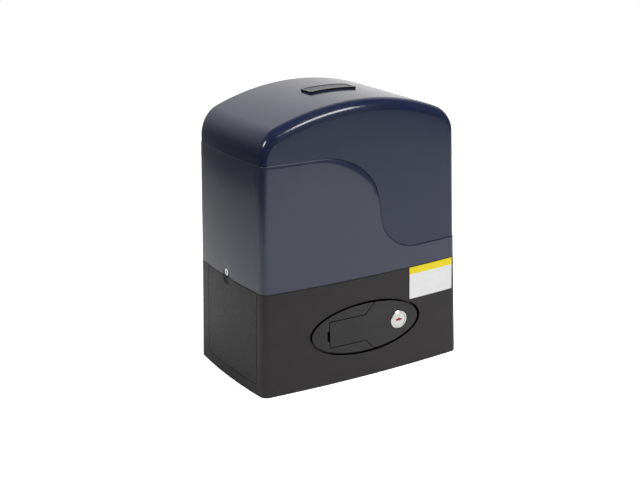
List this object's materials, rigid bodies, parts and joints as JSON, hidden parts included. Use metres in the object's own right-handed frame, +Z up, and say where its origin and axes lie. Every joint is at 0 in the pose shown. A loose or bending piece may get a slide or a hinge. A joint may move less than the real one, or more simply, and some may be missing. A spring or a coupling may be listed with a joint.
{
  "type": "sliding gate motor",
  "caption": "Upright sliding gate operator: black base with oval release lever and cam lock, tall two-part blue cover, worm gearmotor and rear output pinion.",
  "frame": {"origin": "centre of the lower housing's underside, on the surface it stands on", "axes": "+Z up, +Y from the release lever face towards the output pinion, +X along the wide face"},
  "size_m": [0.2764, 0.2086, 0.3286],
  "materials": {
    "blue_cover": "gloss",
    "black_housing": "fine texture",
    "lever_plastic": "satin",
    "chromed_screw": "polished",
    "badge_dark": "gloss",
    "badge_chrome": "satin",
    "label_vinyl": "satin",
    "nickel": "satin",
    "zinc_steel": "zinc",
    "cast_aluminium": "cast",
    "gasket_rubber": "matte",
    "bearing_steel": "ground",
    "machined_steel": "machined",
    "bronze": "machined",
    "spring_steel": "wire",
    "core_steel": "laminated",
    "copper_winding": "enamelled",
    "board_green": "solder mask",
    "terminal_green": "satin",
    "black_component": "satin",
    "button_black": "satin",
    "trimmer_blue": "satin",
    "coil_tape": "tape",
    "white_plastic": "satin"
  },
  "bodies": {
    "housing": {"base_housing": "black_housing", "cover_screws": "chromed_screw", "label_plate": "label_vinyl", "release_surround": "lever_plastic", "lever_pin": "zinc_steel", "gearbox_case": "cast_aluminium", "gearbox_gasket": "gasket_rubber", "gearbox_lid": "cast_aluminium", "gearbox_m4_screws": "zinc_steel", "gearbox_foot_screws": "zinc_steel", "output_front_bearing": "bearing_steel", "output_rear_bearing": "bearing_steel", "worm_lower_bearing": "bearing_steel", "worm_upper_bearing": "bearing_steel", "motor_upper_bearing": "bearing_steel", "oil_seal": "gasket_rubber", "motor_stator": "core_steel", "stator_windings": "copper_winding", "motor_flange": "cast_aluminium", "motor_end_bell": "cast_aluminium", "motor_tie_bolts": "zinc_steel", "chassis_plate": "zinc_steel", "board_carrier": "black_component", "control_board": "board_green", "terminal_blocks": "terminal_green", "relays": "black_component", "board_capacitors": "black_component", "fuse_holder": "black_component", "receiver_module": "board_green", "transformer_core": "core_steel", "transformer_coil": "coil_tape", "start_capacitor": "white_plastic", "limit_sensor": "black_component", "cable_grommet": "gasket_rubber"},
    "cover": {"cover_lower_shell": "blue_cover", "cover_upper_cap": "blue_cover", "badge_bezel": "badge_dark", "badge_plate": "badge_chrome"},
    "end_panel_left_body": {"end_panel_left": "black_housing"},
    "end_panel_right_body": {"end_panel_right": "black_housing"},
    "lever": {"release_lever": "lever_plastic", "lock_barrel": "nickel", "lock_nut": "zinc_steel"},
    "lock": {"lock_plug": "nickel", "lock_tongue": "zinc_steel"},
    "release_rod_body": {"release_rod": "zinc_steel"},
    "output": {"output_shaft": "machined_steel", "worm_wheel": "bronze", "output_pinion": "machined_steel", "pinion_key": "machined_steel", "pinion_washer": "zinc_steel", "pinion_bolt": "zinc_steel", "clutch_spring": "spring_steel"},
    "clutch": {"clutch_ring": "machined_steel", "clutch_pin": "machined_steel"},
    "rotor": {"worm_shaft": "machined_steel", "rotor_core": "core_steel"},
    "learn_button_body": {"learn_button": "button_black"},
    "force_trimmer_body": {"force_trimmer": "trimmer_blue"},
    "time_trimmer_body": {"time_trimmer": "trimmer_blue"}
  },
  "joints": [
    {"name": "cover_lift", "type": "slide", "parent": "housing", "child": "cover", "axis": [0, 0, 1], "range_m": [0, 0.24]},
    {"name": "end_panel_left_off", "type": "slide", "parent": "housing", "child": "end_panel_left_body", "axis": [-1, 0, 0], "range_m": [0, 0.04]},
    {"name": "end_panel_right_off", "type": "slide", "parent": "housing", "child": "end_panel_right_body", "axis": [1, 0, 0], "range_m": [0, 0.04]},
    {"name": "lever_swing", "type": "hinge", "parent": "housing", "child": "lever", "pos_m": [0.064, -0.072, 0.061], "axis": [0, 0, 1], "range_deg": [0, 30]},
    {"name": "lock_turn", "type": "hinge", "parent": "lever", "child": "lock", "pos_m": [0.045, -0.07, 0.0607], "axis": [0, 1, 0], "range_deg": [0, 90]},
    {"name": "release_slide", "type": "slide", "parent": "housing", "child": "release_rod_body", "axis": [0, 1, 0], "range_m": [0, 0.00364]},
    {"name": "output_spin", "type": "hinge", "parent": "housing", "child": "output", "pos_m": [0.05, 0.016, 0.072], "axis": [0, 1, 0], "continuous": true},
    {"name": "clutch_slide", "type": "slide", "parent": "output", "child": "clutch", "axis": [0, 1, 0], "range_m": [0, 0.00364], "deforming": ["clutch_spring"]},
    {"name": "rotor_spin", "type": "hinge", "parent": "housing", "child": "rotor", "pos_m": [0, 0.016, 0.072], "axis": [0, 0, 1], "continuous": true},
    {"name": "learn_button_press", "type": "slide", "parent": "housing", "child": "learn_button_body", "axis": [0, 1, 0], "range_m": [0, 0.0005], "stiffness_N_per_m": 300, "springref_m": -0.001},
    {"name": "force_trimmer_turn", "type": "hinge", "parent": "housing", "child": "force_trimmer_body", "pos_m": [0.022, -0.056, 0.208], "axis": [0, 1, 0], "range_deg": [-135, 135]},
    {"name": "time_trimmer_turn", "type": "hinge", "parent": "housing", "child": "time_trimmer_body", "pos_m": [0.036, -0.056, 0.208], "axis": [0, 1, 0], "range_deg": [-135, 135]}
  ],
  "couplings": [
    {"joint": "rotor_spin", "follows": "output_spin", "ratio": -30},
    {"joint": "release_slide", "follows": "lever_swing", "m_per_rad": 0.006944},
    {"joint": "clutch_slide", "follows": "lever_swing", "m_per_rad": 0.006944}
  ]
}
